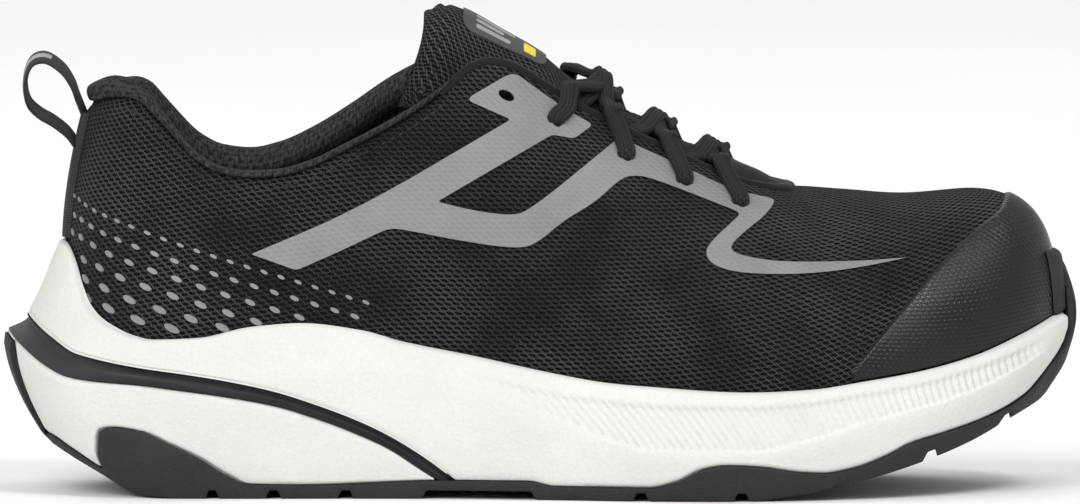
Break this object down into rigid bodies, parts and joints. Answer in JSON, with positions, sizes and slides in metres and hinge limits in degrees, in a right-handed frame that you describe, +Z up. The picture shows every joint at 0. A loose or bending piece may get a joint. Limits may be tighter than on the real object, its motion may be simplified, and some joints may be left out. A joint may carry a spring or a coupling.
{
  "type": "safety shoe",
  "caption": "Low lace-up safety trainer for the right foot: knit upper, toe guard, padded collar and tongue, two-part cushioned foam sole with a stiff heel plate and a lugged rubber outsole.",
  "frame": {"origin": "on the floor, under the middle of the shoe's box", "axes": "+X to the toe, -Y to the outer (lateral) side, +Z up"},
  "size_m": [0.3, 0.109, 0.1352],
  "materials": {
    "outsole_rubber": "matt rubber with a fine moulded grain",
    "foam": "matt moulded foam",
    "plate": "matt moulded plate",
    "knit": "close black knit",
    "insole_cloth": "brushed lining cloth",
    "tongue_cloth": "padded mesh",
    "label": "smooth matt label",
    "collar_cloth": "ribbed lining over padding",
    "binding": "smooth rolled edge with a soft sheen",
    "toe_guard": "thin welded film over knit with a soft sheen",
    "film": "silky grey welded film",
    "webbing": "woven tape",
    "lace_cord": "flat woven lace"
  },
  "bodies": {
    "root": {"outsole": "outsole_rubber", "heel_wedge": "foam", "heel_plate": "plate", "midsole": "foam", "upper": "knit", "insole": "insole_cloth", "tongue": "tongue_cloth", "tongue_label": "label", "collar": "collar_cloth", "throat_edge": "binding", "toe_cap": "toe_guard", "eyestay_lateral": "film", "eyestay_medial": "film", "backstay": "webbing", "pull_loop": "webbing", "lace": "lace_cord"}
  },
  "joints": []
}
